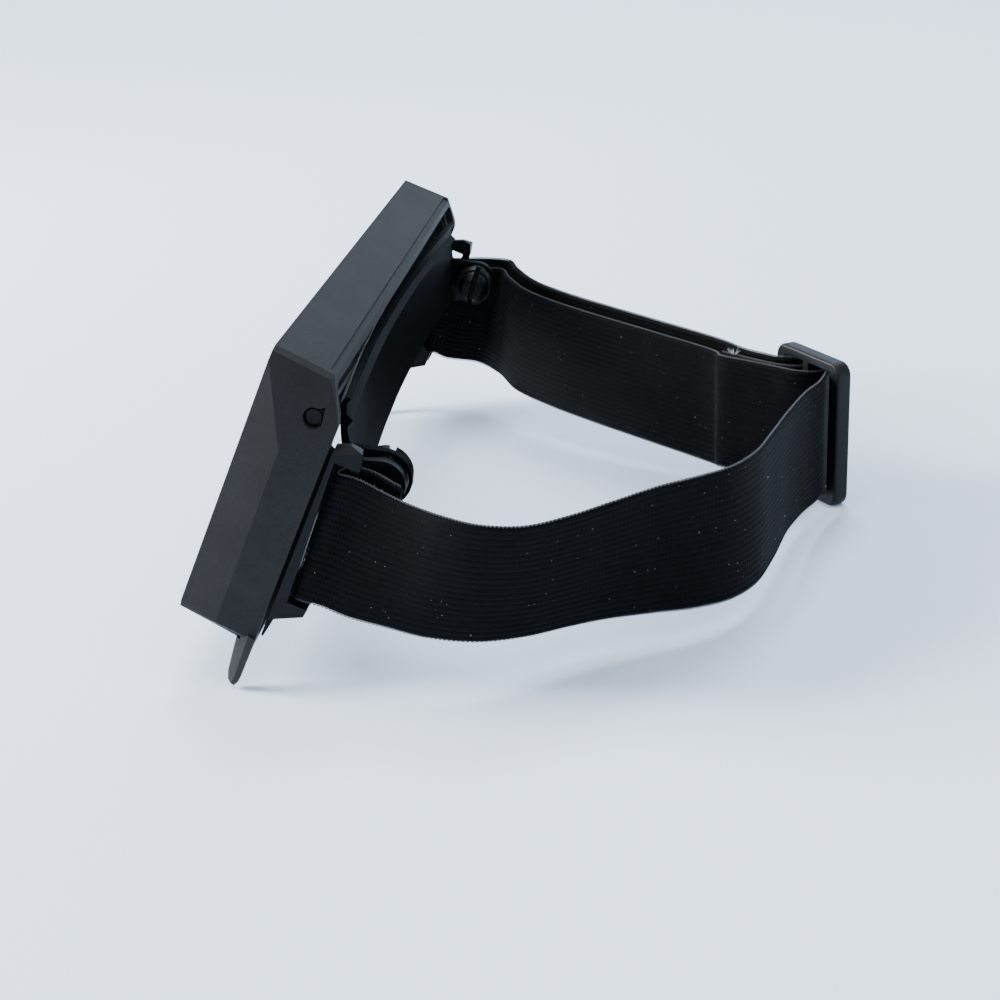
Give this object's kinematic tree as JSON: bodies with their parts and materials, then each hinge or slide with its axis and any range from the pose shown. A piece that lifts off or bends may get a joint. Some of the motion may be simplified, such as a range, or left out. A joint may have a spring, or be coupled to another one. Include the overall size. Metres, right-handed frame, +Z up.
{
  "type": "head visor magnifier",
  "caption": "Head-worn visor magnifier: a flip-up hood with one wide magnifying lens, carried by side brackets, a forehead band and an adjustable elastic strap with a tri-glide buckle.",
  "frame": {"origin": "on the floor, under the middle of the overall box", "axes": "+X towards the wearer's left, +Y behind the wearer (towards the strap's buckle), +Z up"},
  "size_m": [0.22, 0.1568, 0.0766],
  "materials": {
    "hood": "fine spark-textured dark grey ABS",
    "frame": "satin black moulded plastic",
    "washer": "smooth nylon",
    "lens": "clear polished acrylic",
    "screw": "zinc plated",
    "webbing": "black knitted elastic with lengthwise ribs and looped edges",
    "thread": "black sewing thread"
  },
  "bodies": {
    "head_frame": {"buckle": "frame", "friction_washer_left": "washer", "friction_washer_right": "washer", "pivot_pin_left": "frame", "pivot_pin_right": "frame", "seam_buckle": "thread", "seam_left": "thread", "split_stud_left": "frame", "split_stud_right": "frame", "strap_bracket_left": "frame", "strap_bracket_right": "frame", "strap_buckle_run": "webbing", "strap_end_loop": "webbing", "strap_left_run": "webbing", "strap_left_tail": "webbing", "strap_right_inner": "webbing", "strap_right_outer": "webbing"},
    "hood": {"hood_shell": "hood", "lens_retainer": "hood", "main_lens": "lens", "retainer_screw_lower_left": "screw", "retainer_screw_lower_right": "screw", "retainer_screw_upper_left": "screw", "retainer_screw_upper_right": "screw"},
    "band": {"forehead_band": "frame"}
  },
  "joints": [
    {"name": "hood_flip", "type": "hinge", "parent": "head_frame", "child": "hood", "pos_m": [-0.00868, -0.03843, 0.06122], "axis": [-1, 0, 0], "range_deg": [0, 75]},
    {"name": "band_tilt", "type": "hinge", "parent": "head_frame", "child": "band", "pos_m": [-0.00868, -0.02795, 0.04263], "axis": [1, 0, 0], "range_deg": [-1, 10]}
  ]
}
